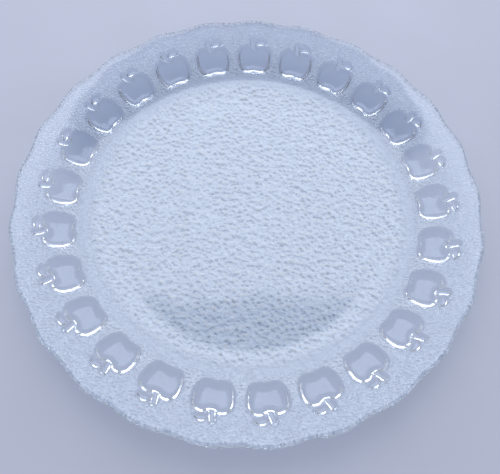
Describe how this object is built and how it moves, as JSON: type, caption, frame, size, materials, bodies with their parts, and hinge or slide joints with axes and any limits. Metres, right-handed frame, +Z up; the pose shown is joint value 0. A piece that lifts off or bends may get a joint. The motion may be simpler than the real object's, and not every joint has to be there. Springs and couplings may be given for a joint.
{
  "type": "plate",
  "caption": "Round serving plate of pressed clear glass: flat well, sloping rim, wavy rounded edge and a border of relief fruits under the rim.",
  "frame": {"origin": "centre of the flat base, on the surface that the plate stands on", "axes": "+Z up along the plate's axis; -Y runs through the middle of one fruit of the border"},
  "size_m": [0.281, 0.2806, 0.0199],
  "materials": {
    "glass": "clear and glossy, smooth on top, pebbled underneath"
  },
  "bodies": {
    "root": {"plate": "glass"}
  },
  "joints": []
}
